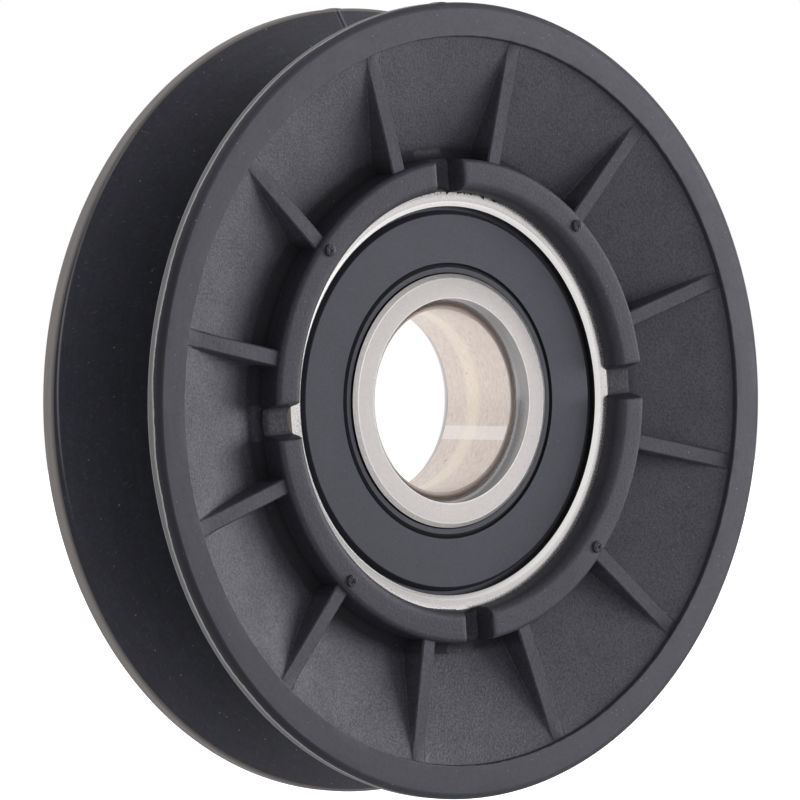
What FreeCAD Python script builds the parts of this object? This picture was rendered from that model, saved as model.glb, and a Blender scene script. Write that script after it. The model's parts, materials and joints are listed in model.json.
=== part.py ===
import FreeCAD, Part
import math
import os

# Tensioner pulley for a V belt: a black nylon wheel moulded round a sealed ball bearing.
# The wheel turns about +Y, its front faces -Y, and the origin is the middle of the bearing.
# Sizes are in millimetres and angles in degrees.

# Ball bearing: rings, balls and raceways
bore_diameter = 17.0
bearing_diameter = 40.0
ball_diameter = 6.747
ball_gap = 0.03
race_conformity = 0.52
race_depth = 1.35
bore_corner_radial = 1.0
bore_corner_axial = 1.57
bore_corner_lead = 12.0
outer_ring_corner = 0.6
ring_face_width = 1.95
ring_face_chamfer = 0.45
ring_face_chamfer_depth = 0.28
inner_ring_edge = 0.38

# Pressed steel cage in two halves, with its rivets
cage_sheet = 0.7
pocket_clearance = 0.12
cage_side_gap = 0.65
rivet_diameter = 1.2
rivet_head_diameter = 1.8
rivet_head_height = 0.4
rivet_head_taper = 0.25
rivet_hole_clearance = 0.03
rivet_land_edge = 0.2

# Rubber seals, snapped into the outer ring and lipped on the inner ring
cage_to_seal_gap = 0.3565
seal_thickness = 1.0
seal_recess = 0.45
seal_fit_gap = 0.03
seal_lip_gap = 0.06
seal_land_step = 0.42
seal_land_length = 2.05
seal_snap_depth = 0.3
seal_snap_height = 0.4
seal_rim_gap = 0.72
seal_lip_width = 0.53
seal_groove_width = 0.5
seal_groove_depth = 0.28
seal_groove_draft = 0.09
seal_edge = 0.1

# Moulded wheel: belt groove, rim and web
pulley_diameter = 73.66
hub_wall = 4.48
groove_half_angle = 18.0
groove_floor_width = 6.03
groove_floor_fillet = 1.0
groove_edge_radius = 0.2
rim_edge_radius = 0.6
rim_land = 0.813
rim_face_width = 3.13
rim_step_draft = 0.06
rim_step_edge = 0.18
web_thickness = 2.0
moulding_gap = 0.02

# Hub boss that holds the bearing, with its notches, ribs and gate stubs
boss_wall = 2.39
boss_rise = 1.9
boss_draft = 0.1
boss_edge = 0.5
boss_base_fillet = 0.8
boss_mouth_round = 0.9
boss_mouth_flare = 0.2
lip_overlap = 0.06
notch_count = 4
notch_floor_width = 2.4
notch_mouth_width = 3.3
notch_sink = 0.15
rib_count = 12
rib_width = 1.55
rib_drop = 0.5
rib_end_gap = 0.7
rib_end_height = 0.05
gate_count = 4
gate_diameter = 1.15
gate_height = 0.35
gate_edge_distance = 1.0
pattern_phase = 4.9

# Places that follow from the sizes above
bore_radius = bore_diameter / 2
bearing_radius = bearing_diameter / 2
ball_radius = ball_diameter / 2
pitch_radius = (bore_radius + bearing_radius) / 2
race_radius = race_conformity * ball_diameter
inner_race_radius = pitch_radius - ball_radius - ball_gap
outer_race_radius = pitch_radius + ball_radius + ball_gap
inner_shoulder_radius = inner_race_radius + race_depth
outer_shoulder_radius = outer_race_radius - race_depth
pocket_radius = ball_radius + pocket_clearance
pocket_shell_radius = pocket_radius + cage_sheet
seal_back = pocket_shell_radius + cage_to_seal_gap
seal_face = seal_back + seal_thickness
bearing_half_width = seal_face + seal_recess
seal_land_radius = inner_shoulder_radius - seal_land_step
seal_seat_radius = bearing_radius - ring_face_width
ball_pitch = ball_diameter + 2 * (pocket_clearance + cage_sheet + rivet_land_edge) + rivet_head_diameter
ball_count = math.floor(math.pi / math.asin(ball_pitch / 2 / pitch_radius))

rim_radius = pulley_diameter / 2
seat_radius = bearing_radius + moulding_gap
groove_floor_radius = seat_radius + hub_wall
groove_slope = math.tan(math.radians(groove_half_angle))
boss_radius = bearing_radius + boss_wall
boss_face = bearing_half_width + boss_rise
boss_lip_radius = bearing_radius - outer_ring_corner - lip_overlap
rim_inner_radius = rim_radius - rim_face_width

ORIGIN = FreeCAD.Vector(0, 0, 0)
AXIS = FreeCAD.Vector(0, 1, 0)
BACKWARDS_AXIS = FreeCAD.Vector(0, -1, 0)


def rounded_wire(corners):
    """Closed wire in the XY plane through (x, y, corner radius), with tangent arcs at its corners."""
    points = [FreeCAD.Vector(x, y, 0) for x, y, radius in corners]
    runs = []
    for index, (x, y, radius) in enumerate(corners):
        corner = points[index]
        before = (points[index - 1] - corner).normalize()
        after = (points[(index + 1) % len(points)] - corner).normalize()
        half_angle = before.getAngle(after) / 2
        setback = radius / math.tan(half_angle)
        middle = corner + (before + after).normalize() * (radius / math.sin(half_angle) - radius)
        runs.append((corner + before * setback, middle, corner + after * setback, radius))
    edges = []
    for index, (start, middle, end, radius) in enumerate(runs):
        if radius > 0:
            edges.append(Part.Arc(start, middle, end).toShape())
        edges.append(Part.LineSegment(end, runs[(index + 1) % len(runs)][0]).toShape())
    return Part.Wire(edges)


def turned(corners):
    """Solid of revolution about Y from a closed section of (radius, height along Y, corner radius)."""
    return Part.Face(rounded_wire(corners)).revolve(ORIGIN, AXIS, 360)


def both_sides(half_section):
    """Full section from its front half, given as (radius, distance from the mid-plane, corner radius)."""
    front = [(radius, -height, corner) for radius, height, corner in half_section]
    rear = [(radius, height, corner) for radius, height, corner in reversed(half_section)]
    return front + rear


def at_angle(shape, degrees):
    """Copy turned about the axis, counter-clockwise seen from the front."""
    copy = shape.copy()
    copy.rotate(ORIGIN, BACKWARDS_AXIS, degrees)
    return copy


def around(shape, count, first_angle):
    """Copies of a shape spaced evenly about the axis."""
    return [at_angle(shape, first_angle + index * 360 / count) for index in range(count)]


def mirrored(shape):
    """The same shape on the other side of the mid-plane."""
    return shape.mirror(ORIGIN, AXIS)


def groove_wall_height(radius):
    """Distance of the belt groove's wall from the mid-plane."""
    return groove_floor_width / 2 + (radius - groove_floor_radius) * groove_slope


def web_height(radius):
    """Distance of the web's outer face from the mid-plane, parallel to the groove wall."""
    return groove_wall_height(radius) + web_thickness / math.cos(math.radians(groove_half_angle))


def raceway(race_bottom_radius, outwards):
    """Torus that cuts the ball groove into a ring, with its bottom at the given radius."""
    centre_radius = race_bottom_radius - race_radius if outwards else race_bottom_radius + race_radius
    return Part.makeTorus(centre_radius, race_radius, ORIGIN, AXIS)


def make_inner_ring():
    """Bored and ground steel ring with a ball groove and a lower land for each seal lip."""
    shoulder_end = bearing_half_width - seal_land_length
    ring = turned(both_sides([
        (inner_shoulder_radius, shoulder_end - seal_land_step, 0),
        (seal_land_radius, shoulder_end, 0),
        (seal_land_radius, bearing_half_width, inner_ring_edge),
        (bore_radius, bearing_half_width, 0),
    ]))
    bore_corner = make_bore_corner()
    ring = ring.cut(bore_corner).cut(mirrored(bore_corner))
    return ring.cut(raceway(inner_race_radius, False))


def make_bore_corner():
    """Material off the front mouth of the bore: an arc that meets the ground bore at a crisp low angle."""
    start = FreeCAD.Vector(bore_radius, bore_corner_axial - bearing_half_width, 0)
    end = FreeCAD.Vector(bore_radius + bore_corner_radial, -bearing_half_width, 0)
    outside = FreeCAD.Vector(bore_radius, -bearing_half_width, 0)
    chord = end - start
    chord_angle = math.atan2(bore_corner_radial, bore_corner_axial)
    half_turn = chord_angle - math.radians(bore_corner_lead)
    bulge = chord.Length / 2 * math.tan(half_turn / 2)
    sideways = FreeCAD.Vector(chord.y, -chord.x, 0).normalize()
    middle = (start + end) / 2 + sideways * bulge
    section = Part.Wire([
        Part.Arc(start, middle, end).toShape(),
        Part.LineSegment(end, outside).toShape(),
        Part.LineSegment(outside, start).toShape(),
    ])
    return Part.Face(section).revolve(ORIGIN, AXIS, 360)


def make_outer_ring():
    """Ground steel ring with a ball groove inside and a snap groove for each seal."""
    snap_radius = seal_seat_radius + seal_snap_depth
    snap_top = seal_back + seal_snap_height + seal_fit_gap
    seat_floor = seal_back - seal_fit_gap
    entry_top = bearing_half_width - ring_face_chamfer_depth
    ring = turned(both_sides([
        (outer_shoulder_radius, seat_floor, 0),
        (snap_radius, seat_floor, 0),
        (snap_radius, snap_top, 0),
        (seal_seat_radius, snap_top + seal_snap_depth / 2, 0),
        (seal_seat_radius, entry_top, 0),
        (seal_seat_radius + ring_face_chamfer, bearing_half_width, 0),
        (bearing_radius, bearing_half_width, outer_ring_corner),
    ]))
    return ring.cut(raceway(outer_race_radius, True))


def make_front_seal():
    """Moulded rubber disc: bead in the outer ring's groove, flat face, and a lip on the inner ring."""
    lip_radius = seal_land_radius + seal_lip_gap
    groove_start = lip_radius + seal_lip_width
    groove_end = groove_start + seal_groove_width
    bead_radius = seal_seat_radius + seal_snap_depth - seal_fit_gap
    bead_top = seal_back + seal_snap_height
    face_radius = seal_seat_radius - seal_rim_gap
    neck_radius = seal_seat_radius - seal_rim_gap / 2
    lip_tip = seal_thickness / 3
    return turned([(radius, -height, corner) for radius, height, corner in [
        (face_radius, seal_face, seal_edge),
        (neck_radius, bead_top, 0),
        (bead_radius, bead_top, 0),
        (bead_radius, seal_back, 0),
        (groove_start, seal_back, 0),
        (lip_radius, seal_back + lip_tip, 0),
        (lip_radius, seal_face - lip_tip, 0),
        (lip_radius + lip_tip, seal_face, seal_edge),
        (groove_start, seal_face, 0),
        (groove_end - seal_groove_draft, seal_face - seal_groove_depth, 0),
        (groove_end, seal_face, 0),
    ]])


def ball_places(radius):
    """Sphere of the given radius at the place of each ball, with its poles along the axis."""
    sphere = Part.makeSphere(radius, FreeCAD.Vector(pitch_radius, 0, 0), AXIS)
    return around(sphere, ball_count, pattern_phase)


def rivet_angle():
    """Angle of the first rivet, half way between two balls."""
    return pattern_phase + 180 / ball_count


def make_cage_front():
    """Half of the cage: a flat strip of sheet pressed into a round pocket over each ball."""
    inner = inner_shoulder_radius + cage_side_gap
    outer = outer_shoulder_radius - cage_side_gap
    strip = turned([(inner, -cage_sheet, 0), (inner, 0, 0), (outer, 0, 0), (outer, -cage_sheet, 0)])
    reach = pocket_shell_radius
    band = turned([(inner, -reach, 0), (inner, 0, 0), (outer, 0, 0), (outer, -reach, 0)])
    domes = [dome.common(band) for dome in ball_places(pocket_shell_radius)]
    hole_radius = rivet_diameter / 2 + rivet_hole_clearance
    hole_start = FreeCAD.Vector(pitch_radius, -reach, 0)
    hole = Part.makeCylinder(hole_radius, reach, hole_start, AXIS)
    holes = around(hole, ball_count, rivet_angle())
    return strip.multiFuse(domes).cut(ball_places(pocket_radius) + holes).removeSplitter()


def make_cage_rivets():
    """One steel rivet between each two balls, with a tapered head on both sides of the cage."""
    shank_radius = rivet_diameter / 2
    head_radius = rivet_head_diameter / 2
    head_top = cage_sheet + rivet_head_height
    rivet = turned(both_sides([
        (shank_radius, cage_sheet, 0),
        (head_radius, cage_sheet, 0),
        (head_radius - rivet_head_taper, head_top, 0),
        (0, head_top, 0),
    ]))
    rivet.translate(FreeCAD.Vector(pitch_radius, 0, 0))
    return Part.makeCompound(around(rivet, ball_count, rivet_angle()))


def make_wheel():
    """Plain turned form of the wheel: V groove, rounded rim, conical webs and the boss round the bearing."""
    rim_corner = math.radians(90 + groove_half_angle)
    groove_edge = groove_wall_height(rim_radius)
    rim_face = groove_edge + groove_edge_radius / math.tan(rim_corner / 2) + rim_land + rim_edge_radius
    step_radius = rim_inner_radius - rim_step_draft
    boss_base_radius = boss_radius + boss_draft
    pocket_face = bearing_half_width + moulding_gap
    return turned(both_sides([
        (groove_floor_radius, groove_floor_width / 2, groove_floor_fillet),
        (rim_radius, groove_edge, groove_edge_radius),
        (rim_radius, rim_face, rim_edge_radius),
        (rim_inner_radius, rim_face, rim_step_edge),
        (step_radius, web_height(step_radius), 0),
        (boss_base_radius, web_height(boss_base_radius), boss_base_fillet),
        (boss_radius, boss_face, boss_edge),
        (boss_lip_radius + boss_mouth_flare, boss_face, boss_mouth_round),
        (boss_lip_radius, pocket_face, 0),
        (seat_radius, pocket_face, outer_ring_corner + moulding_gap),
    ]))


def make_rib():
    """Gusset on the front web, from just under the boss face down to a low end beside the rim's step."""
    root = boss_radius - boss_wall / 2
    end = rim_inner_radius - rib_end_gap
    sink = web_thickness / 2
    outline = Part.makePolygon([
        FreeCAD.Vector(root, -(boss_face - rib_drop), 0),
        FreeCAD.Vector(end, -(web_height(end) + rib_end_height), 0),
        FreeCAD.Vector(end, -(web_height(end) - sink), 0),
        FreeCAD.Vector(root, -(web_height(root) - sink), 0),
        FreeCAD.Vector(root, -(boss_face - rib_drop), 0),
    ])
    outline.translate(FreeCAD.Vector(0, 0, -rib_width / 2))
    return Part.Face(outline).extrude(FreeCAD.Vector(0, 0, rib_width))


def make_notch():
    """Drafted slot across the boss, down past the bearing's face so that the ring shows in it."""
    floor = bearing_half_width - notch_sink
    flare = (notch_mouth_width - notch_floor_width) / 2 / (boss_face - floor)
    top = boss_face + boss_rise
    top_half = notch_floor_width / 2 + flare * (top - floor)
    start = boss_lip_radius - boss_wall
    length = boss_radius + boss_wall - start
    outline = Part.makePolygon([
        FreeCAD.Vector(start, -floor, -notch_floor_width / 2),
        FreeCAD.Vector(start, -floor, notch_floor_width / 2),
        FreeCAD.Vector(start, -top, top_half),
        FreeCAD.Vector(start, -top, -top_half),
        FreeCAD.Vector(start, -floor, -notch_floor_width / 2),
    ])
    return Part.Face(outline).extrude(FreeCAD.Vector(length, 0, 0))


def make_gate_stub():
    """Short broken-off stub where the nylon was let into the mould."""
    sink = gate_height
    start = FreeCAD.Vector(boss_radius - gate_edge_distance, -(boss_face - sink), 0)
    return Part.makeCylinder(gate_diameter / 2, gate_height + sink, start, BACKWARDS_AXIS)


def make_pulley_body():
    """The whole nylon moulding: wheel, ribs and notches on both sides, gate stubs on the front."""
    ribs = around(make_rib(), rib_count, pattern_phase + 180 / rib_count)
    notches = around(make_notch(), notch_count, pattern_phase)
    stubs = around(make_gate_stub(), gate_count, pattern_phase + 180 / gate_count)
    body = make_wheel().multiFuse(ribs + [mirrored(rib) for rib in ribs])
    body = body.cut(notches + [mirrored(notch) for notch in notches])
    return body.multiFuse(stubs).removeSplitter()


cage_front = make_cage_front()
front_seal = make_front_seal()
nodes = {
    "inner_ring": make_inner_ring(),
    "outer_ring": make_outer_ring(),
    "cage_front": cage_front,
    "cage_rear": mirrored(cage_front),
    "cage_rivets": make_cage_rivets(),
    "front_seal": front_seal,
    "rear_seal": mirrored(front_seal),
    "pulley_body": make_pulley_body(),
}
for index, ball in enumerate(ball_places(ball_radius)):
    nodes[f"ball_{index + 1}"] = ball

os.makedirs("parts", exist_ok=True)
for name, shape in nodes.items():
    shape.exportStep(f"parts/{name}.step")
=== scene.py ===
import json
import math
import random
from collections import namedtuple

import bmesh
import bpy
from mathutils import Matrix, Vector


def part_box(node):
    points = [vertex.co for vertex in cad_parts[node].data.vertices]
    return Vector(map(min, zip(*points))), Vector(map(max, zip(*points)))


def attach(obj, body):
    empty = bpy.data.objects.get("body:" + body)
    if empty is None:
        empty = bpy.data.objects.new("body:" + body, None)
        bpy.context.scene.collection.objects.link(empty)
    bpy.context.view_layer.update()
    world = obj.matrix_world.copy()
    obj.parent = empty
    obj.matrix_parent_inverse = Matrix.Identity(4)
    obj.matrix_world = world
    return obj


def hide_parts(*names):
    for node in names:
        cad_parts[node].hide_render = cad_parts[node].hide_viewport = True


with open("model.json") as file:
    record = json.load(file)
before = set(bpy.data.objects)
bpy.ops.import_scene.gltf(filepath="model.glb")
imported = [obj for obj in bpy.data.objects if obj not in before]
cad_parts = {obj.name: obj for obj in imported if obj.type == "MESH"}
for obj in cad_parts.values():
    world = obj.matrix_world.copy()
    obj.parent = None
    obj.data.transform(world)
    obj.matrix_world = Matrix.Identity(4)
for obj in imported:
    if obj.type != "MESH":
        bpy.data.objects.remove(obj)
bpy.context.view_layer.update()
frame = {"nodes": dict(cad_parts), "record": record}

# Bearing inner ring. A hardened steel ring that stands still on the bolt: its faces are surface
# ground, the bore is honed, and the bore's corners were polished by tumbling before grinding.
mm = 0.001
bore_radius = frame["record"]["mounts"][0]["dims"]["r_mm"] * mm
bearing_half_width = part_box("inner_ring")[1].y
inner_shoulder_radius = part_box("inner_ring")[1].x
ball_radius = (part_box("ball_1")[1].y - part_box("ball_1")[0].y) / 2
bearing_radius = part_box("outer_ring")[1].x
pitch_radius = (bore_radius + bearing_radius) / 2
ball_gap = 0.03 * mm
race_curvature = 0.52
race_radius = race_curvature * 2 * ball_radius
seal_land_step = 0.42 * mm
seal_land_radius = inner_shoulder_radius - seal_land_step
seal_land_length = 2.05 * mm
bore_corner_radial = 1.0 * mm
bore_corner_axial = 1.57 * mm
bore_corner_lead = 12.0
ring_edge_width = 0.38 * mm
ring_edge_depth = 0.8 * ring_edge_width
edge_line = 0.1 * mm


def arc(zone, centre, radius, start, end, steps):
    """Section points (radius, height, zone) on an arc, with angles in degrees from the radial direction."""
    angles = [math.radians(start + (end - start) * step / steps) for step in range(steps + 1)]
    return [(centre[0] + radius * math.cos(a), centre[1] + radius * math.sin(a), zone) for a in angles]


def race_turn(depth):
    """Degrees from the bottom of a raceway to its shoulder, which stands this far above the bottom."""
    return math.degrees(math.acos((race_radius - depth) / race_radius))


def both_sides(half):
    """Closed section from its front half, given from mid-plane to mid-plane as (radius, height, zone)."""
    front = [(radius, -height, zone) for radius, height, zone in half]
    rear = [(radius, height, half[-3 - step][2]) for step, (radius, height, zone)
            in enumerate(reversed(half[1:-1]))]
    return front + rear


def new_piece(name, mesh_data, materials, sharp_angle=32):
    """Object made from a bmesh, smooth shaded with sharp edges kept."""
    bmesh.ops.recalc_face_normals(mesh_data, faces=mesh_data.faces)
    mesh = bpy.data.meshes.new(name)
    mesh_data.to_mesh(mesh)
    mesh_data.free()
    mesh.shade_smooth()
    mesh.set_sharp_from_angle(angle=math.radians(sharp_angle))
    for material in materials:
        mesh.materials.append(material)
    piece = bpy.data.objects.new(name, mesh)
    bpy.context.scene.collection.objects.link(piece)
    flat_shading = piece.modifiers.new("flat_faces_stay_flat", "WEIGHTED_NORMAL")
    flat_shading.keep_sharp = True
    return piece


def lathe(name, section, materials, zones, segments=288):
    """Ring turned about Y from a closed section of (radius, height, zone), one material a zone."""
    mesh_data = bmesh.new()
    rows = []
    for radius, height, zone in section:
        row = []
        for step in range(segments):
            angle = 2 * math.pi * step / segments
            row.append(mesh_data.verts.new((radius * math.cos(angle), height, radius * math.sin(angle))))
        rows.append(row)
    for index, row in enumerate(rows):
        following = rows[(index + 1) % len(rows)]
        slot = zones.index(section[index][2])
        for step in range(segments):
            ahead = (step + 1) % segments
            face = mesh_data.faces.new((row[step], row[ahead], following[ahead], following[step]))
            face.material_index = slot
    return new_piece(name, mesh_data, materials)


def node_maker(tree):
    """Adds nodes to a tree: make(kind, inputs, settings) links sockets and sets plain values."""
    def make(kind, inputs=None, **settings):
        node = tree.nodes.new(kind)
        for key, value in settings.items():
            setattr(node, key, value)
        for key, value in (inputs or {}).items():
            if isinstance(value, bpy.types.NodeSocket):
                tree.links.new(value, node.inputs[key])
            else:
                node.inputs[key].default_value = value
        return node
    return make


def new_group(name, inputs, outputs):
    """Empty shader node group with float inputs and outputs, and the maker of its nodes."""
    group = bpy.data.node_groups.new(name, "ShaderNodeTree")
    for label, value in inputs.items():
        socket = group.interface.new_socket(label, in_out="INPUT", socket_type="NodeSocketFloat")
        socket.default_value = value
    for label in outputs:
        group.interface.new_socket(label, in_out="OUTPUT", socket_type="NodeSocketFloat")
    make = node_maker(group)
    return group, make, make("NodeGroupInput").outputs, make("NodeGroupOutput")


Polar = namedtuple("Polar", "place along radius angle")


def polar_place(make):
    """Object coordinates, with the place along the axis, the distance from it and the angle round it."""
    place = make("ShaderNodeTexCoord").outputs["Object"]
    split = make("ShaderNodeSeparateXYZ", {0: place}).outputs
    angle = make("ShaderNodeMath", {0: split["Z"], 1: split["X"]}, operation="ARCTAN2").outputs[0]
    flat = make("ShaderNodeCombineXYZ", {"X": split["X"], "Y": split["Z"]}).outputs[0]
    radius = make("ShaderNodeVectorMath", {0: flat}, operation="LENGTH").outputs["Value"]
    return Polar(place, split["Y"], radius, angle)


def maths(make, operation, *values):
    """Output of one Math node."""
    return make("ShaderNodeMath", dict(enumerate(values)), operation=operation).outputs[0]


def ramp(make, value, start, end, low=0.0, high=1.0):
    """Smooth step of a value from low at start to high at end."""
    return make("ShaderNodeMapRange", {"Value": value, "From Min": start, "From Max": end, "To Min": low,
                                       "To Max": high}, interpolation_type="SMOOTHSTEP").outputs[0]


def between(make, value, borders):
    """1 between two soft borders, given from the outside of the first to the outside of the second."""
    low_outside, low_inside, high_inside, high_outside = borders
    return maths(make, "MULTIPLY", ramp(make, value, low_outside, low_inside),
                 ramp(make, value, high_outside, high_inside))


def strayed(make, noise, reach):
    """Noise about zero, as a length that strays over the given reach."""
    return maths(make, "MULTIPLY", maths(make, "SUBTRACT", noise.outputs[0], 0.5), reach)


largest_pit = 0.13
unpitted_share = 0.75


def turning_marks_group():
    """Fine lines that run round the axis, as a grinding wheel or lathe tool leaves them."""
    group, make, given, result = new_group(
        "turning_marks", {"Lines per metre": 9000.0, "Breaks": 6.0}, ["Lines", "Grain", "Pits"])
    place, along, radius, angle = polar_place(make)
    spun = make("ShaderNodeCombineXYZ", {
        "X": maths(make, "MULTIPLY", radius, given["Lines per metre"]),
        "Y": maths(make, "MULTIPLY", maths(make, "COSINE", angle), given["Breaks"]),
        "Z": maths(make, "MULTIPLY", maths(make, "SINE", angle), given["Breaks"])}).outputs[0]
    lines = make("ShaderNodeTexNoise", {
        "Vector": spun, "W": maths(make, "MULTIPLY", along, given["Lines per metre"]),
        "Scale": 1.0, "Detail": 3.0}, noise_dimensions="4D")
    grain = make("ShaderNodeTexNoise", {"Vector": place, "Scale": 5200.0, "Detail": 2.0})
    cells = make("ShaderNodeTexVoronoi", {"Vector": place, "Scale": 1100.0})
    chance = make("ShaderNodeSeparateXYZ", {0: cells.outputs["Color"]}).outputs
    near = maths(make, "LESS_THAN", cells.outputs["Distance"],
                 maths(make, "MULTIPLY", chance["Y"], largest_pit))
    pits = maths(make, "MULTIPLY", near, maths(make, "GREATER_THAN", chance["X"], unpitted_share))
    group.links.new(lines.outputs[0], result.inputs["Lines"])
    group.links.new(grain.outputs[0], result.inputs["Grain"])
    group.links.new(pits, result.inputs["Pits"])
    return group


turning_marks = turning_marks_group()


def new_material(name):
    """Material with an empty Principled shader, its node maker and the shader node."""
    material = bpy.data.materials.new(name)
    material.use_nodes = True
    tree = material.node_tree
    shader = tree.nodes["Principled BSDF"]
    return material, tree, node_maker(tree), shader


def spread(make, value, low, high):
    """Value from 0 to 1 stretched to run from low to high."""
    return make("ShaderNodeMapRange", {"Value": value, "From Min": 0.25, "From Max": 0.75,
                                       "To Min": low, "To Max": high}).outputs[0]


def blended(make, factor, first, second):
    """Colour that runs from first to second, each a colour or a socket."""
    mix = make("ShaderNodeMix", {"Factor": factor}, data_type="RGBA")
    for key, value in (("A", first), ("B", second)):
        if isinstance(value, bpy.types.NodeSocket):
            mix.id_data.links.new(value, mix.inputs[key])
        else:
            mix.inputs[key].default_value = (*value, 1)
    return mix.outputs["Result"]


line_share = 0.65
grain_share = 0.35
steel_bump = 0.35
pit_black = (0.03, 0.027, 0.025)


def steel(name, dark, light, smooth, rough, lines, breaks, relief, pitted=False, patches=None):
    """Bearing steel with turning marks in its colour, gloss and relief."""
    material, tree, make, shader = new_material(name)
    marks = make("ShaderNodeGroup", node_tree=turning_marks)
    marks.inputs["Lines per metre"].default_value = lines
    marks.inputs["Breaks"].default_value = breaks
    mixed = maths(make, "ADD", maths(make, "MULTIPLY", marks.outputs["Lines"], line_share),
                  maths(make, "MULTIPLY", marks.outputs["Grain"], grain_share))
    shade = blended(make, spread(make, mixed, 0.0, 1.0), dark, light)
    if patches:
        shade = patches(make, shade)
    if pitted:
        shade = blended(make, marks.outputs["Pits"], shade, pit_black)
    tree.links.new(shade, shader.inputs["Base Color"])
    tree.links.new(spread(make, marks.outputs["Grain"], smooth, rough), shader.inputs["Roughness"])
    bump = make("ShaderNodeBump", {"Height": mixed, "Strength": steel_bump, "Distance": relief})
    tree.links.new(bump.outputs[0], shader.inputs["Normal"])
    shader.inputs["Metallic"].default_value = 1.0
    return material


# Painted reflections: a pale band half way along the bore and a pale strip low on one side stand for
# reflected light.
bore_reflection_band = (-0.4 * mm, 0.3 * mm, 1.3 * mm, 2.1 * mm)
bore_reflection_strength = 0.40
reflection_cream = (0.90, 0.80, 0.66)
strip_reflection_span = (-0.455, -0.447, -0.292, -0.284)
strip_reflection_strength = 0.55
strip_reflection_pale = (0.92, 0.85, 0.83)


def bore_painted_reflections(make, shade):
    """Painted reflections in the bore: a paler band half way along it, and a paler strip low on one side."""
    spot = polar_place(make)
    band = maths(make, "MULTIPLY", between(make, spot.along, bore_reflection_band), bore_reflection_strength)
    strip = maths(make, "MULTIPLY", between(make, spot.angle, strip_reflection_span), strip_reflection_strength)
    return blended(make, strip, blended(make, band, shade, reflection_cream), strip_reflection_pale)


ground_steel = steel("ground_steel", dark=(0.72, 0.68, 0.67), light=(0.88, 0.84, 0.83),
                     smooth=0.44, rough=0.56, lines=9000, breaks=24, relief=0.004 * mm, pitted=True)
honed_steel = steel("honed_steel", dark=(0.51, 0.445, 0.405), light=(0.86, 0.755, 0.69),
                    smooth=0.28, rough=0.44, lines=6000, breaks=14, relief=0.006 * mm,
                    pitted=True, patches=bore_painted_reflections)
polished_steel = steel("polished_steel", dark=(0.38, 0.36, 0.365), light=(0.48, 0.46, 0.465),
                       smooth=0.14, rough=0.22, lines=4000, breaks=4, relief=0.001 * mm)
turned_steel = steel("turned_steel", dark=(0.52, 0.495, 0.49), light=(0.74, 0.71, 0.70),
                     smooth=0.34, rough=0.46, lines=5000, breaks=30, relief=0.006 * mm)
bright_steel = steel("bright_steel", dark=(0.90, 0.88, 0.87), light=(0.98, 0.96, 0.95),
                     smooth=0.20, rough=0.28, lines=3000, breaks=30, relief=0.002 * mm)

inner_race_radius = pitch_radius - ball_radius - ball_gap
inner_reach = race_turn(inner_shoulder_radius - inner_race_radius)
corner_chord = math.hypot(bore_corner_radial, bore_corner_axial)
corner_turn = 2 * (math.degrees(math.atan2(bore_corner_radial, bore_corner_axial)) - bore_corner_lead)
corner_radius = corner_chord / 2 / math.sin(math.radians(corner_turn / 2))
corner_centre = (bore_radius + corner_radius * math.cos(math.radians(bore_corner_lead)),
                 bearing_half_width - bore_corner_axial
                 - corner_radius * math.sin(math.radians(bore_corner_lead)))
land_start = bearing_half_width - seal_land_length
inner_half = arc("race", (inner_race_radius + race_radius, 0), race_radius, 180, 180 - inner_reach, 10)
inner_half += [
    (inner_shoulder_radius, land_start - seal_land_step, "race"),
    (seal_land_radius, land_start, "race"),
    (seal_land_radius, bearing_half_width - ring_edge_depth, "edge"),
    (seal_land_radius - ring_edge_width, bearing_half_width - edge_line / 2, "line"),
    (seal_land_radius - ring_edge_width - edge_line, bearing_half_width, "face"),
    (bore_radius + bore_corner_radial + edge_line, bearing_half_width, "line"),
]
inner_half += arc("corner", corner_centre, corner_radius,
                  180 - bore_corner_lead - corner_turn, 180 - bore_corner_lead, 10)
inner_half[-1] = (*inner_half[-1][:2], "bore")
inner_half.append((bore_radius, 0.0, "bore"))
inner_ring = lathe("bearing_inner_ring", both_sides(inner_half),
                   [polished_steel, ground_steel, polished_steel, honed_steel, turned_steel, bright_steel],
                   ["race", "face", "corner", "bore", "edge", "line"])
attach(inner_ring, "inner_ring")
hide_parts("inner_ring")

# Balls and cage. Polished chrome-steel balls run in a ribbon cage that is pressed from thin steel
# strip in two halves and riveted between the balls. The seals hide all of it.
ball_steel = steel("ball_steel", dark=(0.62, 0.62, 0.62), light=(0.68, 0.68, 0.68),
                   smooth=0.05, rough=0.08, lines=1500, breaks=2, relief=0.0002 * mm)
cage_steel = steel("cage_steel", dark=(0.36, 0.35, 0.33), light=(0.50, 0.49, 0.46),
                   smooth=0.30, rough=0.45, lines=2500, breaks=30, relief=0.002 * mm)
for name, node in frame["nodes"].items():
    if name.startswith(("ball_", "cage_")):
        node.data.materials.clear()
        node.data.materials.append(ball_steel if name.startswith("ball_") else cage_steel)

# Bearing outer ring. The same hardened steel, ground on its faces and held by the moulding's lip,
# with a raceway inside and a groove near each face that the seal's bead snaps into.
outer_ring_corner = 0.6 * mm
ring_face_chamfer = 0.45 * mm
ring_face_chamfer_depth = 0.28 * mm
ring_face_width = 1.95 * mm
seal_seat_radius = bearing_radius - ring_face_width
seal_fit_gap = 0.03 * mm
seal_snap_depth = 0.3 * mm
seal_snap_height = 0.4 * mm
seal_face = -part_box("front_seal")[0].y
seal_back = -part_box("front_seal")[1].y
outer_race_radius = pitch_radius + ball_radius + ball_gap
outer_race_depth = 1.35 * mm
outer_shoulder_radius = outer_race_radius - outer_race_depth
outer_reach = race_turn(outer_race_radius - outer_shoulder_radius)
snap_radius = seal_seat_radius + seal_snap_depth
snap_top = seal_back + seal_snap_height + seal_fit_gap
outer_half = arc("race", (outer_race_radius - race_radius, 0), race_radius, 0, outer_reach, 10)
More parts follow.
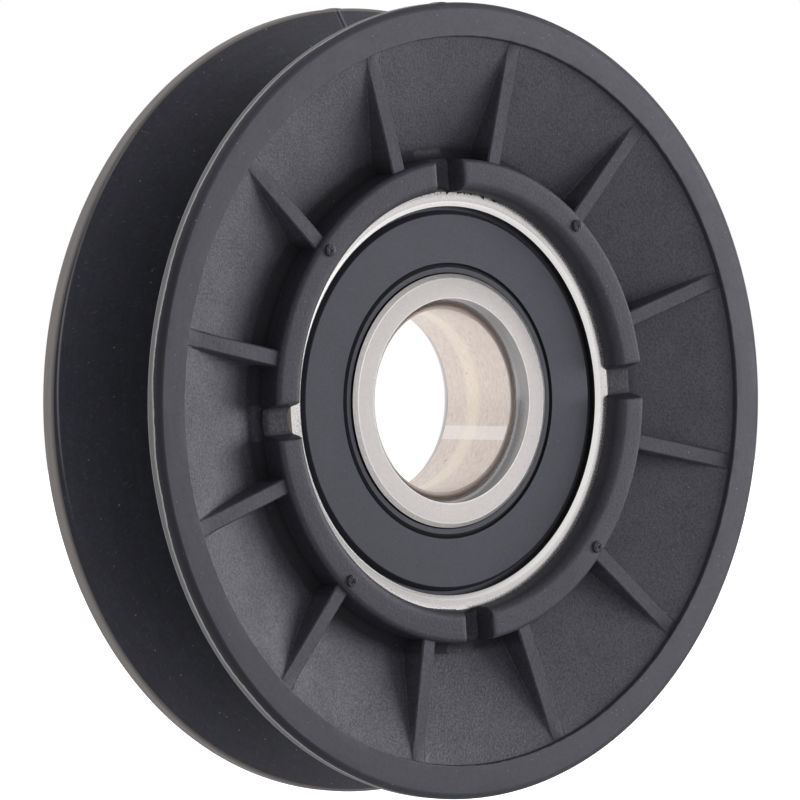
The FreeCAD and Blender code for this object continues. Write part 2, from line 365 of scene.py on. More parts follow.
outer_half += [
    (outer_shoulder_radius, seal_back - seal_fit_gap, "recess"),
    (snap_radius, seal_back - seal_fit_gap, "recess"),
    (snap_radius, snap_top, "recess"),
    (seal_seat_radius, snap_top + seal_snap_depth / 2, "recess"),
    (seal_seat_radius, bearing_half_width - ring_face_chamfer_depth, "chamfer"),
    (seal_seat_radius + ring_face_chamfer, bearing_half_width, "face"),
]
outer_half += arc("corner", (bearing_radius - outer_ring_corner, bearing_half_width - outer_ring_corner),
                  outer_ring_corner, 90, 0, 8)
outer_half.append((bearing_radius, 0.0, "corner"))
skin_border = (bearing_radius - 0.72 * mm, bearing_radius - 0.66 * mm)
skin_tear = 1.3 * mm
skin_towards_top = (0.93, 0.97)
skin_black = (0.02, 0.02, 0.024)
# Painted shade: the ring face is darkened towards the top, standing for a darker reflection there.
painted_top_shade_span = (0.50, 0.85)
painted_top_shade_strength = 0.75
painted_top_shade_grey = (0.545, 0.525, 0.522)


def lip_flash_and_painted_shade(make, shade):
    """Ring face: painted shade towards the top, and ragged skins of nylon beside the notch in the lip there.
    """
    spot = polar_place(make)
    torn = make("ShaderNodeTexNoise", {"Vector": spot.place, "Scale": 2600.0, "Detail": 3.0,
                                       "Roughness": 0.7})
    skin = ramp(make, maths(make, "ADD", spot.radius, strayed(make, torn, skin_tear)), *skin_border)
    upwards = maths(make, "SINE", spot.angle)
    # Painted shade: darker steel towards the top.
    shade = blended(make, ramp(make, upwards, *painted_top_shade_span, 0.0, painted_top_shade_strength), shade, painted_top_shade_grey)
    beside_notch = maths(make, "MULTIPLY", skin, ramp(make, upwards, *skin_towards_top))
    return blended(make, beside_notch, shade, skin_black)


lapped_steel = steel("lapped_steel", dark=(0.72, 0.69, 0.685), light=(0.88, 0.85, 0.845),
                     smooth=0.22, rough=0.30, lines=9000, breaks=24, relief=0.004 * mm,
                     pitted=True, patches=lip_flash_and_painted_shade)
# Dark steel on the outer ring's rounded corners and in the seal's recess.
dark_steel = steel("dark_steel", dark=(0.11, 0.10, 0.095), light=(0.17, 0.155, 0.145),
                      smooth=0.30, rough=0.42, lines=3000, breaks=20, relief=0.006 * mm)
outer_ring = lathe("bearing_outer_ring", both_sides(outer_half),
                   [polished_steel, lapped_steel, dark_steel, dark_steel, bright_steel],
                   ["race", "face", "corner", "recess", "chamfer"])
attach(outer_ring, "wheel")
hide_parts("outer_ring")

# Seals. Dark grey nitrile rubber moulded on a thin steel disc: an outer bead sits in the outer
# ring's groove, the face is flat, and a grooved lip rides on the inner ring.
seal_lip_gap = 0.06 * mm
seal_lip_radius = seal_land_radius + seal_lip_gap
seal_lip_width = 0.53 * mm
seal_groove_width = 0.44 * mm
seal_groove_depth = 0.28 * mm
seal_groove_draft = 0.09 * mm
seal_rim_gap = 0.72 * mm
seal_edge_round = 0.1 * mm
seal_lip_round = 0.12 * mm
clean_share = 0.55


def moulded_grain_group():
    """Spark-eroded grain, soft blotches and pale specks of dust."""
    group, make, given, result = new_group(
        "moulded_grain", {"Grain per metre": 4200.0, "Dust per metre": 1300.0, "Dust size": 0.09},
        ["Grain", "Blotches", "Dust"])
    place = make("ShaderNodeTexCoord").outputs["Object"]
    grain = make("ShaderNodeTexNoise", {"Vector": place, "Scale": given["Grain per metre"], "Detail": 2.0,
                                        "Roughness": 0.55})
    blotches = make("ShaderNodeTexNoise", {"Vector": place, "Scale": 260.0, "Detail": 5.0, "Roughness": 0.6})
    specks = make("ShaderNodeTexVoronoi", {"Vector": place, "Scale": given["Dust per metre"]})
    kept = make("ShaderNodeSeparateXYZ", {0: specks.outputs["Color"]}).outputs
    near = maths(make, "LESS_THAN", specks.outputs["Distance"],
                 maths(make, "MULTIPLY", given["Dust size"], kept["Y"]))
    dust = maths(make, "MULTIPLY", near, maths(make, "GREATER_THAN", kept["X"], clean_share))
    group.links.new(grain.outputs[0], result.inputs["Grain"])
    group.links.new(blotches.outputs[0], result.inputs["Blotches"])
    group.links.new(dust, result.inputs["Dust"])
    return group


moulded_grain = moulded_grain_group()
speckle_grain = 0.7
speckle_blotches = 0.3
speckle_lines = 0.4
mould_lines = 3500
mould_breaks = 9
moulded_bump = 0.6
dust_grey = (0.16, 0.155, 0.15)
cool_sheen = (0.88, 0.88, 1.0, 1)


def moulded(name, dark, light, gloss, matt, grain_scale, relief, dust_size=0.08, lines=0.0, extra=None):
    """Moulded rubber or nylon: speckled colour and gloss, grain relief, and dust that catches the light."""
    material, tree, make, shader = new_material(name)
    grain = make("ShaderNodeGroup", node_tree=moulded_grain)
    grain.inputs["Grain per metre"].default_value = grain_scale
    grain.inputs["Dust size"].default_value = dust_size
    marks = make("ShaderNodeGroup", node_tree=turning_marks)
    marks.inputs["Lines per metre"].default_value = mould_lines
    marks.inputs["Breaks"].default_value = mould_breaks
    fine = maths(make, "MULTIPLY", grain.outputs["Grain"], speckle_grain - speckle_lines * lines)
    broad = maths(make, "MULTIPLY", grain.outputs["Blotches"], speckle_blotches)
    lined = maths(make, "MULTIPLY", marks.outputs["Lines"], speckle_lines * lines)
    speckle = maths(make, "ADD", fine, maths(make, "ADD", broad, lined))
    shade = blended(make, spread(make, speckle, 0.0, 1.0), dark, light)
    height = maths(make, "ADD", maths(make, "MULTIPLY", marks.outputs["Lines"], lines),
                   grain.outputs["Grain"])
    if extra:
        shade, height = extra(make, marks, shade, height)
    shade = blended(make, grain.outputs["Dust"], shade, dust_grey)
    tree.links.new(shade, shader.inputs["Base Color"])
    tree.links.new(spread(make, speckle, matt, gloss), shader.inputs["Roughness"])
    bump = make("ShaderNodeBump", {"Height": height, "Strength": moulded_bump, "Distance": relief})
    tree.links.new(bump.outputs[0], shader.inputs["Normal"])
    shader.inputs["Specular Tint"].default_value = cool_sheen
    return material


seal_rubber = moulded("seal_rubber", dark=(0.020, 0.020, 0.029), light=(0.029, 0.029, 0.041),
                      gloss=0.50, matt=0.60, grain_scale=5000, relief=0.008 * mm, dust_size=0.05)
# Much darker rubber in the seal's groove.
dark_groove_rubber = moulded("dark_groove_rubber", dark=(0.002, 0.002, 0.003), light=(0.005, 0.005, 0.007),
                         gloss=0.74, matt=0.84, grain_scale=5000, relief=0.008 * mm, dust_size=0.0)
seal_groove_start = seal_lip_radius + seal_lip_width
seal_bead_radius = snap_radius - seal_fit_gap
seal_bead_top = seal_back + seal_snap_height
seal_face_radius = seal_seat_radius - seal_rim_gap
seal_lip_tip = (seal_face - seal_back) / 3
seal_section = arc("rubber", (seal_face_radius - seal_edge_round, seal_face - seal_edge_round),
                   seal_edge_round, 90, 20, 4)
seal_section += [
    (seal_seat_radius - seal_rim_gap / 2, seal_bead_top, "rubber"),
    (seal_bead_radius, seal_bead_top, "rubber"),
    (seal_bead_radius, seal_back, "rubber"),
    (seal_groove_start, seal_back, "rubber"),
    (seal_lip_radius, seal_back + seal_lip_tip, "rubber"),
    (seal_lip_radius, seal_face - seal_lip_round, "rubber"),
]
seal_section += arc("rubber", (seal_lip_radius + seal_lip_round, seal_face - seal_lip_round),
                    seal_lip_round, 150, 90, 4)
seal_section += [
    (seal_groove_start, seal_face, "groove"),
    (seal_groove_start + seal_groove_width - seal_groove_draft, seal_face - seal_groove_depth, "groove"),
    (seal_groove_start + seal_groove_width, seal_face, "rubber"),
]
for name, side in (("front_seal", -1), ("rear_seal", 1)):
    section = [(radius, side * height, zone) for radius, height, zone in seal_section]
    seal = lathe("rubber_" + name, section, [seal_rubber, dark_groove_rubber], ["rubber", "groove"])
    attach(seal, "wheel")
    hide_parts(name)

# Wheel. One piece of black glass-filled nylon, moulded round the bearing: V groove, rounded rims,
# conical webs with spark-eroded grain, twelve gussets a side and a notched boss that grips the ring.
rim_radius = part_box("pulley_body")[1].x
rim_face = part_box("pulley_body")[1].y
moulding_gap = 0.02 * mm
seat_radius = bearing_radius + moulding_gap
hub_wall = 4.48 * mm
groove_floor_radius = seat_radius + hub_wall
groove_floor_width = 6.03 * mm
groove_floor_half = groove_floor_width / 2
groove_angle = math.radians(18.0)
groove_fillet = 1.0 * mm
groove_edge = 0.2 * mm
rim_edge = 0.6 * mm
rim_width = 3.13 * mm
rim_inner_radius = rim_radius - rim_width
rim_step_draft = 0.06 * mm
rim_step_edge = 0.12 * mm
web_thickness = 2.0 * mm
boss_wall = 2.39 * mm
boss_radius = bearing_radius + boss_wall
boss_draft = 0.1 * mm
boss_base_radius = boss_radius + boss_draft
boss_height = 1.9 * mm
boss_face = bearing_half_width + boss_height
boss_edge = 0.5 * mm
boss_fillet = 0.8 * mm
mouth_round = 0.9 * mm
lip_overlap = 0.06 * mm
lip_radius = bearing_radius - outer_ring_corner - lip_overlap
mouth_flare = 0.2 * mm
mouth_radius = lip_radius + mouth_flare
pocket_face = bearing_half_width + moulding_gap
pattern_phase = math.radians(4.9)
rib_count = 12
rib_half = 0.775 * mm
rib_drop = 0.5 * mm
rib_edge = 0.16 * mm
rib_side = 0.08 * mm
rib_foot = 0.06 * mm
rib_end_gap = 0.7 * mm
rib_end_radius = rim_inner_radius - rib_end_gap
rib_end_height = 0.05 * mm
notch_every = 3
notch_dish = 0.15 * mm
notch_floor = bearing_half_width - notch_dish
notch_floor_half = 1.2 * mm
notch_mouth_half = 1.65 * mm
notch_mouth_round = 0.25 * mm
notch_mouth_bend = 1.6 / mm
notch_end_bend = 0.8 / mm


def groove_wall(radius):
    """Distance of the groove's wall from the mid-plane."""
    return groove_floor_half + (radius - groove_floor_radius) * math.tan(groove_angle)


def web_face(radius):
    """Distance of the web's outer face from the mid-plane."""
    return groove_wall(radius) + web_thickness / math.cos(groove_angle)


def rounded_path(corners):
    """Open path through (radius, height, corner radius, corner's zone, zone after it, parts after it)."""
    path = []
    for index, (radius, height, corner_round, zone, zone_after, parts) in enumerate(corners):
        corner = Vector((radius, height))
        if corner_round:
            before = (Vector(corners[index - 1][:2]) - corner).normalized()
            after = (Vector(corners[index + 1][:2]) - corner).normalized()
            half_angle = before.angle(after) / 2
            start = corner + before * (corner_round / math.tan(half_angle))
            centre = corner + (before + after).normalized() * (corner_round / math.sin(half_angle))
            turn = math.pi - 2 * half_angle
            steps = max(3, round(math.degrees(turn) / 12))
            sign = 1 if before.x * after.y - before.y * after.x < 0 else -1
            spoke = start - centre
            for step in range(steps + 1):
                angle = sign * turn * step / steps
                turned = Vector((spoke.x * math.cos(angle) - spoke.y * math.sin(angle),
                                 spoke.x * math.sin(angle) + spoke.y * math.cos(angle)))
                path.append((*(centre + turned), zone if step < steps else zone_after))
        else:
            path.append((radius, height, zone_after))
        if index + 1 < len(corners) and parts > 1:
            path.append((parts, None, zone_after))
    points = []
    for index, entry in enumerate(path):
        if entry[1] is not None:
            points.append(entry)
            continue
        start = Vector(path[index - 1][:2])
        end = Vector(path[index + 1][:2])
        for part in range(1, entry[0]):
            points.append((*start.lerp(end, part / entry[0]), entry[2]))
    return points


step_radius = rim_inner_radius - rim_step_draft
wheel_half = rounded_path([
    (groove_floor_radius, 0.0, 0, "groove", "groove", 1),
    (groove_floor_radius, groove_floor_half, groove_fillet, "groove", "groove", 4),
    (rim_radius, groove_wall(rim_radius), groove_edge, "edge", "edge", 2),
    (rim_radius, rim_face, rim_edge, "edge", "rim", 3),
    (rim_inner_radius, rim_face, rim_step_edge, "rim", "rim", 1),
    (step_radius, web_face(step_radius), 0, "web", "web", 10),
    (boss_base_radius, web_face(boss_base_radius), boss_fillet, "foot", "boss", 4),
    (boss_radius, boss_face, boss_edge, "boss", "boss", 3),
    (mouth_radius, boss_face, mouth_round, "boss", "boss", 3),
    (lip_radius, pocket_face, 0, "seat", "seat", 1),
    (seat_radius, pocket_face, outer_ring_corner + moulding_gap, "seat", "seat", 1),
    (seat_radius, 0.0, 0, "seat", "seat", 1),
])


def rib_top(radius):
    """Height of the gusset's top edge, which falls from the boss to the web at the rim."""
    inner = boss_face - rib_drop
    outer = web_face(rib_end_radius) + rib_end_height
    return inner + (outer - inner) * (radius - boss_radius) / (rib_end_radius - boss_radius)


rib_offsets = [0.0, rib_half - rib_edge, rib_half - 0.3 * rib_edge, rib_half, rib_half + rib_side,
               rib_half + rib_side + 0.35 * rib_foot, rib_half + rib_side + rib_foot]
notch_offsets = [notch_mouth_half + notch_mouth_round, notch_mouth_half + 0.12 * mm,
                 notch_mouth_half + 0.02 * mm, notch_mouth_half - 0.08 * mm,
                 (notch_mouth_half + notch_floor_half) / 2, notch_floor_half + 0.02 * mm,
                 0.9 * notch_floor_half, 0.65 * notch_floor_half, 0.35 * notch_floor_half]
blend_count = 7
flash_height = 0.09 * mm
flash_half = 0.7 * mm
ragged_edge = 0.03 * mm
Column = namedtuple("Column", "feature place offset sector")


def column_list():
    """Columns of mesh points round the wheel, across each notch, each gusset and the webs between them.

    The offset is a length from the feature's middle, or on a web the share of the way to the gusset.
    """
    columns = []
    spacing = 2 * math.pi / rib_count
    shares = [(part + 1) / (blend_count + 1) for part in range(blend_count)]
    for sector in range(rib_count):
        start = pattern_phase + sector * spacing
        middle = start + spacing / 2
        end = start + spacing
        columns.append(Column("notch", start, 0.0, sector))
        columns += [Column("notch", start, offset, sector) for offset in reversed(notch_offsets)]
        columns += [Column("blend", (start, middle, 1), share, sector) for share in shares]
        columns += [Column("rib", middle, -offset, sector) for offset in reversed(rib_offsets)]
        columns += [Column("rib", middle, offset, sector) for offset in rib_offsets[1:]]
        columns += [Column("blend", (end, middle, -1), 1 - share, sector) for share in shares]
        columns += [Column("notch", end, -offset, sector + 1) for offset in notch_offsets]
    return columns


def column_angle(column, radius):
    """Angle of a column at a radius, so that rib and notch walls stay parallel."""
    if column.feature != "blend":
        return column.place + math.asin(column.offset / radius)
    notch_place, rib_place, side = column.place
    first = notch_place + side * math.asin(notch_offsets[0] / radius)
    last = rib_place - side * math.asin(rib_offsets[-1] / radius)
    return first + (last - first) * column.offset


def rib_height(offset, radius, base):
    """Height of the surface across a gusset: rounded top edges, drafted sides and a small foot."""
    top = rib_top(radius)
    inside = rib_half - abs(offset)
    if inside >= rib_edge:
        height = top
    elif inside >= 0:
        height = top - rib_edge * (1 - inside / rib_edge) ** 2
    else:
        away = -inside - rib_side
        height = base + rib_foot * max(0.0, 1 - away / rib_foot) ** 2
    return max(base, min(top, height))


def notch_height(offset):
    """Height of the surface across a notch: dished floor, drafted walls and rounded mouth."""
    away = abs(offset) - notch_floor_half
    if away <= 0:
        return notch_floor + (bearing_half_width - notch_floor) * (offset / notch_floor_half) ** 2
    rise = (boss_face - bearing_half_width) * away / (notch_mouth_half - notch_floor_half)
    from_mouth = max(0.0, notch_offsets[0] - abs(offset))
    return min(bearing_half_width + rise, boss_face - notch_mouth_bend * from_mouth ** 2)


def wheel_point(column, radius, height, zone):
    """Place of one mesh point of the front half: the turned section with its gussets and notches."""
    boss_border = boss_radius - boss_edge
    at_flash = column.feature == "notch" and column.sector == notch_every
    if at_flash and zone == "edge":
        radius += flash_height * max(0.0, 1 - (column.offset / flash_half) ** 2)
    on_rib = column.feature == "rib" and zone in ("web", "foot", "boss")
    if on_rib and boss_border < radius < rib_end_radius:
        height = rib_height(column.offset, radius, height)
    if column.feature == "notch" and column.sector % notch_every == 0 and zone in ("boss", "seat"):
        if abs(column.offset) < notch_offsets[0]:
            past_border = max(0.0, radius - boss_border)
            height = min(height, notch_height(column.offset) - notch_end_bend * past_border ** 2)
        if height < pocket_face:
            above = height - (bearing_half_width - outer_ring_corner)
            corner = outer_ring_corner
            if above > 0:
                corner = math.sqrt(max(0.0, outer_ring_corner ** 2 - above ** 2))
            radius = max(radius, bearing_radius - outer_ring_corner + corner + moulding_gap)
    return radius, height, column_angle(column, radius)


joined_within = 0.002 * mm


def build_wheel():
    """Closed mesh of the whole moulding, with a material zone for each kind of surface."""
    chance = random.Random(29)
    mesh_data = bmesh.new()
    columns = column_list()
    ragged = [chance.uniform(-1, 1) * ragged_edge for column in columns]
    loop = [(radius, height, zone, -1) for radius, height, zone in wheel_half]
    loop += [(radius, height, zone, 1) for radius, height, zone in reversed(wheel_half[1:-1])]
    finishes = [zone for radius, height, zone in both_sides(wheel_half)]
    rows = []
    for radius, height, zone, side in loop:
        row = []
        at_step = zone == "rim" and radius < rim_inner_radius + rim_step_edge
        at_lip = zone == "seat" and radius == lip_radius
        for column, stray in zip(columns, ragged):
            r, h, angle = wheel_point(column, radius, height, zone)
            if at_step:
                r += stray
            if at_lip and h >= pocket_face:
                r -= abs(stray)
            row.append(mesh_data.verts.new((r * math.cos(angle), side * h, r * math.sin(angle))))
        rows.append(row)
    zones = ["groove", "edge", "rim", "web", "foot", "boss", "seat", "notch"]
    for index, row in enumerate(rows):
        following = rows[(index + 1) % len(rows)]
        for step, column in enumerate(columns):
            ahead = (step + 1) % len(columns)
            face = mesh_data.faces.new((row[step], row[ahead], following[ahead], following[step]))
            finish = finishes[index]
            on_rib = column.feature == "rib" and -rib_half <= column.offset < rib_half
            in_notch = column.feature == "notch" and -notch_mouth_half <= column.offset < notch_mouth_half
            if finish in ("web", "foot") and on_rib:
                finish = "boss"
            if finish in ("boss", "foot") and in_notch and column.sector % notch_every == 0:
                finish = "notch"
            face.material_index = zones.index(finish)
    bmesh.ops.remove_doubles(mesh_data, verts=mesh_data.verts, dist=joined_within)
    bmesh.ops.dissolve_degenerate(mesh_data, edges=mesh_data.edges, dist=joined_within / 2)
    return mesh_data


land_end = rim_face - rim_edge + 0.1 * mm
land_border = (-0.04 * mm, -0.02 * mm)
cut_wander = 0.25 * mm
cut_tear = 0.22 * mm
cut_border = (-0.02 * mm, 0.02 * mm)
outer_burr_width = (0.28 * mm, 0.12 * mm)
inner_burr_width = (0.20 * mm, 0.08 * mm)
inner_burr_strength = 0.6


def trimmed_edge_group():
    """Where the flash was cut off the rim: the land that the blade left, and the bright burrs along it."""
    group, make, given, result = new_group(
        "trimmed_edge",
        {"Land radius": rim_radius, "Land start": groove_wall(rim_radius), "Land end": land_end},
        ["Cut", "Burrs"])
    spot = polar_place(make)
    ragged = make("ShaderNodeTexNoise", {"Vector": spot.place, "Scale": 1400.0, "Detail": 3.0,
                                         "Roughness": 0.6})
    wander = make("ShaderNodeTexNoise", {"Vector": spot.place, "Scale": 70.0, "Detail": 1.0})
    far = maths(make, "ABSOLUTE", spot.along)
    narrowed = maths(make, "MULTIPLY", ramp(make, wander.outputs[0], 0.4, 0.6), cut_wander)
    limit = maths(make, "ADD", maths(make, "SUBTRACT", given["Land end"], narrowed),
                  strayed(make, ragged, cut_tear))
    inside = maths(make, "SUBTRACT", limit, far)
    from_groove = maths(make, "SUBTRACT", far, given["Land start"])
    on_land = ramp(make, maths(make, "SUBTRACT", spot.radius, given["Land radius"]), *land_border)
    cut_area = maths(make, "MULTIPLY", ramp(make, inside, *cut_border), on_land)
    outer_burr = ramp(make, inside, *outer_burr_width)
    on_front = maths(make, "LESS_THAN", spot.along, 0.0)
    inner_burr = maths(make, "MULTIPLY", ramp(make, from_groove, *inner_burr_width),
                       maths(make, "MULTIPLY", on_front, inner_burr_strength))
    group.links.new(cut_area, result.inputs["Cut"])
    group.links.new(maths(make, "MAXIMUM", outer_burr, inner_burr), result.inputs["Burrs"])
    return group


trimmed_edge = trimmed_edge_group()
# Painted shade: the rim edge below the cut is darkened on one side of the wheel.
painted_edge_shade_turn = math.radians(160)
painted_edge_shade_side = (0.55, 0.85)
painted_edge_shade_black = (0.007, 0.007, 0.009)
cut_grey = (0.14, 0.137, 0.138)
burr_white = (0.42, 0.41, 0.41)
rear_edge_dark = (0.13, 0.115, 0.107)
rear_edge_light = (0.22, 0.20, 0.19)


def trimmed(make, marks, shade, height):
    """Rim edge: nylon that the trimming blade left paler, with bright burrs along both borders.

    Below the cut the edge is darkened on one side of the wheel as painted shade.
    """
    edge = make("ShaderNodeGroup", node_tree=trimmed_edge)
    streaks = spread(make, marks.outputs["Lines"], 0.55, 1.0)
    spot = polar_place(make)
    turned = maths(make, "ADD", spot.angle, painted_edge_shade_turn)
    # Painted shade on one side of the wheel.
    shade = blended(make, ramp(make, maths(make, "COSINE", turned), *painted_edge_shade_side), shade, painted_edge_shade_black)
    pale = blended(make, maths(make, "MULTIPLY", edge.outputs["Burrs"], streaks), cut_grey, burr_white)
    front = blended(make, edge.outputs["Cut"], shade, pale)
    rear = blended(make, streaks, rear_edge_dark, rear_edge_light)
    return blended(make, maths(make, "GREATER_THAN", spot.along, 0.0), front, rear), height


seam_slant = 7.0
seam_place = pattern_phase + math.pi / 2
seam_ridge = (-0.011, -0.006, -0.002, 0.0)
seam_gap = (-0.003, 0.001, 0.005, 0.010)
seam_relief = 14.0
seam_grey = (0.085, 0.085, 0.098)
seam_black = (0.001, 0.001, 0.0015)
crease_depth = 0.62 * mm
crease_rise = 0.55 * mm
crease_half = 0.15 * mm
crease_span = (-0.40, 0.10, 0.60, 0.85)
crease_grey = (0.22, 0.22, 0.235)
scratch_slope = 0.7
scratches_across = 4600.0
scratches_along = 900.0
scratch_grey = (0.085, 0.085, 0.095)
rear_band = (rim_radius - 0.30 * mm, rim_radius - 0.22 * mm)
rear_band_grey = (0.15, 0.135, 0.127)


def seam(make, marks, shade, height):
    """Belt groove: slanted witness lines where the slides of the mould met, with a ridge beside a gap.

    A worn crease nears the rim towards the top, fine scratches run aslant, and the rear wall ends in
    a pale band.
    """
    spot = polar_place(make)
    slant = maths(make, "MULTIPLY", maths(make, "SUBTRACT", rim_radius, spot.radius), seam_slant)
    off = maths(make, "SINE", maths(make, "SUBTRACT", maths(make, "ADD", spot.angle, slant), seam_place))
    ridge = between(make, off, seam_ridge)
    gap = between(make, off, seam_gap)
    step = maths(make, "MULTIPLY", maths(make, "SUBTRACT", ridge, gap), seam_relief)
    height = maths(make, "ADD", height, step)
    upwards = maths(make, "SINE", spot.angle)
    inwards = maths(make, "SUBTRACT", maths(make, "ADD", spot.radius, crease_depth - rim_radius),
                    maths(make, "MULTIPLY", upwards, crease_rise))
    crease = between(make, inwards, (-crease_half, 0.0, 0.0, crease_half))
    patchy = make("ShaderNodeTexNoise", {"Vector": spot.place, "Scale": 60.0, "Detail": 2.0}).outputs[0]
    worn = maths(make, "MULTIPLY", between(make, upwards, crease_span), ramp(make, patchy, 0.30, 0.56))
    shade = blended(make, maths(make, "MULTIPLY", crease, worn), shade, crease_grey)
    shade = blended(make, gap, shade, seam_black)
    shade = blended(make, ridge, shade, seam_grey)
    across = maths(make, "SUBTRACT", maths(make, "MULTIPLY", spot.angle, rim_radius),
                   maths(make, "MULTIPLY", spot.radius, scratch_slope))
    onwards = maths(make, "ADD", maths(make, "MULTIPLY", spot.angle, scratch_slope * rim_radius), spot.radius)
    drawn = make("ShaderNodeCombineXYZ", {"X": maths(make, "MULTIPLY", across, scratches_across),
                                          "Y": maths(make, "MULTIPLY", onwards, scratches_along)}).outputs[0]
    strokes = make("ShaderNodeTexNoise", {"Vector": drawn, "Scale": 1.0, "Detail": 2.0}).outputs[0]
    shade = blended(make, ramp(make, strokes, 0.60, 0.80), shade, scratch_grey)
    near_rim = maths(make, "MULTIPLY", ramp(make, spot.radius, *rear_band),
                     maths(make, "GREATER_THAN", spot.along, 0.0))
    return blended(make, near_rim, shade, rear_band_grey), height


# Painted shade: the web and the boss's foot darken towards the boss, standing for the shade there.
foot_shade_span = (boss_base_radius + 1.7 * mm, boss_base_radius + 0.5 * mm)
foot_shade_strength = 0.92
foot_shade_black = (0.004, 0.004, 0.005)


def painted_foot_shade(make, marks, shade, height):
    """Web: painted shade, darkening it towards the foot of the boss."""
    near = ramp(make, polar_place(make).radius, *foot_shade_span, 0.0, foot_shade_strength)
    return blended(make, near, shade, foot_shade_black), height


nylon_web = moulded("nylon_web", dark=(0.014, 0.014, 0.018), light=(0.064, 0.064, 0.079),
                    gloss=0.44, matt=0.68, grain_scale=4600, relief=0.080 * mm, extra=painted_foot_shade)
nylon_rim = moulded("nylon_rim", dark=(0.020, 0.020, 0.026), light=(0.033, 0.033, 0.042),
                    gloss=0.46, matt=0.58, grain_scale=3800, relief=0.010 * mm, lines=0.4)
nylon_edge = moulded("nylon_edge", dark=(0.020, 0.020, 0.026), light=(0.033, 0.033, 0.042),
                     gloss=0.60, matt=0.72, grain_scale=3800, relief=0.012 * mm, lines=0.4, extra=trimmed)
nylon_foot = moulded("nylon_foot", dark=(0.014, 0.014, 0.018), light=(0.064, 0.064, 0.079),
                     gloss=0.76, matt=0.88, grain_scale=4600, relief=0.030 * mm, extra=painted_foot_shade)
nylon_boss = moulded("nylon_boss", dark=(0.012, 0.012, 0.016), light=(0.034, 0.034, 0.043),
                     gloss=0.50, matt=0.64, grain_scale=3800, relief=0.040 * mm)
nylon_notch = moulded("nylon_notch", dark=(0.004, 0.004, 0.006), light=(0.028, 0.028, 0.035),
                      gloss=0.54, matt=0.74, grain_scale=3200, relief=0.080 * mm)
nylon_groove = moulded("nylon_groove", dark=(0.014, 0.015, 0.020), light=(0.042, 0.043, 0.055),
                       gloss=0.40, matt=0.54, grain_scale=3000, relief=0.008 * mm,
                       dust_size=0.13, lines=0.8, extra=seam)
wheel = new_piece("nylon_wheel", build_wheel(),
                  [nylon_groove, nylon_edge, nylon_rim, nylon_web, nylon_foot, nylon_boss, nylon_boss,
                   nylon_notch])
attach(wheel, "wheel")
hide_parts("pulley_body")

# Gate stubs. Four short pegs of the same nylon on the boss face, where it ran into the mould. They
# were broken off after moulding, so their tops are torn, and they are one with the wheel.
gate_radius = 0.575 * mm
gate_height = 0.35 * mm
gate_sink = 0.1 * mm
gate_inset = 1.0 * mm
gate_circle = boss_radius - gate_inset
gate_count = 4
gate_segments = 28
gate_rings = 5
gate_tear = (0.72, 1.0)


def gate_ring(ring):
    """Radius and height of one ring of points, from the sunk foot to the middle of the top."""
    if ring == 0:
        return gate_radius, -gate_sink
    if ring == 1:
        return gate_radius * 0.96, gate_height * 0.75
    return gate_radius * (1.02 - ring / gate_rings), gate_height


def build_gate_stubs():
    """Torn-off pegs that stand on the boss face."""
    chance = random.Random(17)
    mesh_data = bmesh.new()
    for gate in range(gate_count):
        angle = pattern_phase + math.radians(45 + 90 * gate)
        middle = Vector((gate_circle * math.cos(angle), -boss_face, gate_circle * math.sin(angle)))
        rings = []
        for ring in range(gate_rings + 1):
            size, lift = gate_ring(ring)
            row = []
            for step in range(gate_segments):
                turn = 2 * math.pi * step / gate_segments
                torn = chance.uniform(*gate_tear) if ring else 1
                spoke = Vector((size * math.cos(turn), -lift * torn, size * math.sin(turn)))
                row.append(mesh_data.verts.new(middle + spoke))
            rings.append(row)
        for low, high in zip(rings, rings[1:]):
            for step in range(gate_segments):
                ahead = (step + 1) % gate_segments
                mesh_data.faces.new((low[step], low[ahead], high[ahead], high[step]))
        mesh_data.faces.new(rings[-1])
        mesh_data.faces.new(rings[0])
    return mesh_data


gate_stubs = new_piece("gate_stubs", build_gate_stubs(), [nylon_boss])
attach(gate_stubs, "wheel")

# Stage. A plain pale floor, a white sweep behind, a dimmer room in front and a large softbox at the
# right. A flag keeps the softbox off the two bearing rings, so that they show the room alone.
floor_size = 4.0
floor_drop = 12 * mm
floor_tone = 0.80
floor_glow = 0.80
sweep_in_floor = 0.4
sweep_border = (-0.45, -0.05)
bpy.ops.mesh.primitive_plane_add(size=floor_size, location=(0, 0, -rim_radius - floor_drop))
floor = bpy.context.object
floor.name = "floor"


def behind_object(make, direction):
    """1 in the half of the room behind the object, where the white sweep hangs, falling to 0 in front."""
    depth = make("ShaderNodeSeparateXYZ", {0: direction}).outputs["Y"]
    return ramp(make, depth, *sweep_border)


def floor_white():
    """Pale floor: white to the camera, with the sweep's glow in reflections and the object's shadow kept."""
    material, tree, make, shader = new_material("floor_white")
    shader.inputs["Base Color"].default_value = (floor_tone, floor_tone, floor_tone, 1)
    shader.inputs["Roughness"].default_value = 0.9
    path = make("ShaderNodeLightPath").outputs
    outwards = make("ShaderNodeVectorMath", {0: make("ShaderNodeNewGeometry").outputs["Position"]},
                    operation="NORMALIZE").outputs[0]
    mirrored = maths(make, "MAXIMUM", path["Is Glossy Ray"], path["Is Transmission Ray"])
    sweep_glow = maths(make, "MULTIPLY", behind_object(make, outwards),
                       maths(make, "MULTIPLY", mirrored, sweep_in_floor))
    glow = maths(make, "MAXIMUM", maths(make, "MULTIPLY", path["Is Camera Ray"], floor_glow), sweep_glow)
    shader.inputs["Emission Color"].default_value = (1, 1, 1, 1)
    tree.links.new(glow, shader.inputs["Emission Strength"])
    return material


floor.data.materials.append(floor_white())

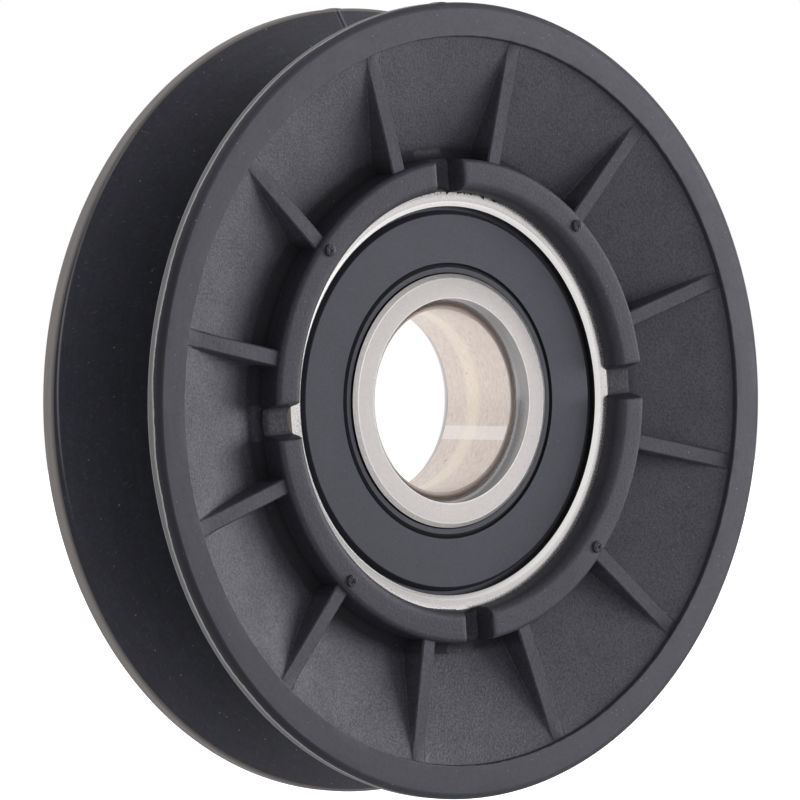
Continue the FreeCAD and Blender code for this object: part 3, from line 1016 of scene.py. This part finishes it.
world = bpy.data.worlds.new("surround")
bpy.context.scene.world = world
world.use_nodes = True
world_make = node_maker(world.node_tree)
background = world.node_tree.nodes["Background"]
background.inputs["Color"].default_value = (1, 1, 1, 1)
ray = world_make("ShaderNodeLightPath").outputs
shown = maths(world_make, "MAXIMUM", ray["Is Camera Ray"], ray["Is Transmission Ray"])
room_dark = 0.36
room_light = 0.82
room_border = (-0.3, -0.95)
direction = world_make("ShaderNodeTexCoord").outputs["Generated"]
depth = world_make("ShaderNodeSeparateXYZ", {0: direction}).outputs["Y"]
room = ramp(world_make, depth, *room_border, room_dark, room_light)
sweep = behind_object(world_make, direction)
lit = maths(world_make, "MAXIMUM", sweep, room)
world.node_tree.links.new(maths(world_make, "MAXIMUM", shown, lit), background.inputs["Strength"])

softbox_place = Vector((0.66, -0.34, 0.10))
lamp = bpy.data.lights.new("right_softbox", "AREA")
lamp.shape = "RECTANGLE"
lamp.size = 0.50
lamp.size_y = 0.36
lamp.energy = 3.7
softbox = bpy.data.objects.new("right_softbox", lamp)
softbox.location = softbox_place
softbox.rotation_euler = (-softbox_place).to_track_quat("-Z", "Y").to_euler()
bpy.context.scene.collection.objects.link(softbox)
flagged_off = bpy.data.collections.new("flagged_off")
for ring in (inner_ring, outer_ring):
    flagged_off.objects.link(ring)
for entry in flagged_off.collection_objects:
    entry.light_linking.link_state = "EXCLUDE"
softbox.light_linking.receiver_collection = flagged_off

camera_azimuth = math.radians(-40.49)
camera_elevation = math.radians(0.40)
camera_distance = 650.0 * mm
camera_lens = 313.45
back = Vector((math.sin(camera_azimuth) * math.cos(camera_elevation),
               -math.cos(camera_azimuth) * math.cos(camera_elevation), math.sin(camera_elevation)))
camera_data = bpy.data.cameras.new("camera")
camera_data.lens = camera_lens
camera_data.sensor_width = 36.0
camera_data.shift_x = -0.01275
camera_data.shift_y = 0.0006
camera_data.clip_start = 0.01
camera_data.clip_end = 20.0
camera = bpy.data.objects.new("camera", camera_data)
camera.location = back * camera_distance
camera.rotation_euler = back.to_track_quat("Z", "Y").to_euler()
bpy.context.scene.collection.objects.link(camera)
bpy.context.scene.camera = camera
bpy.context.scene.view_settings.view_transform = "Standard"
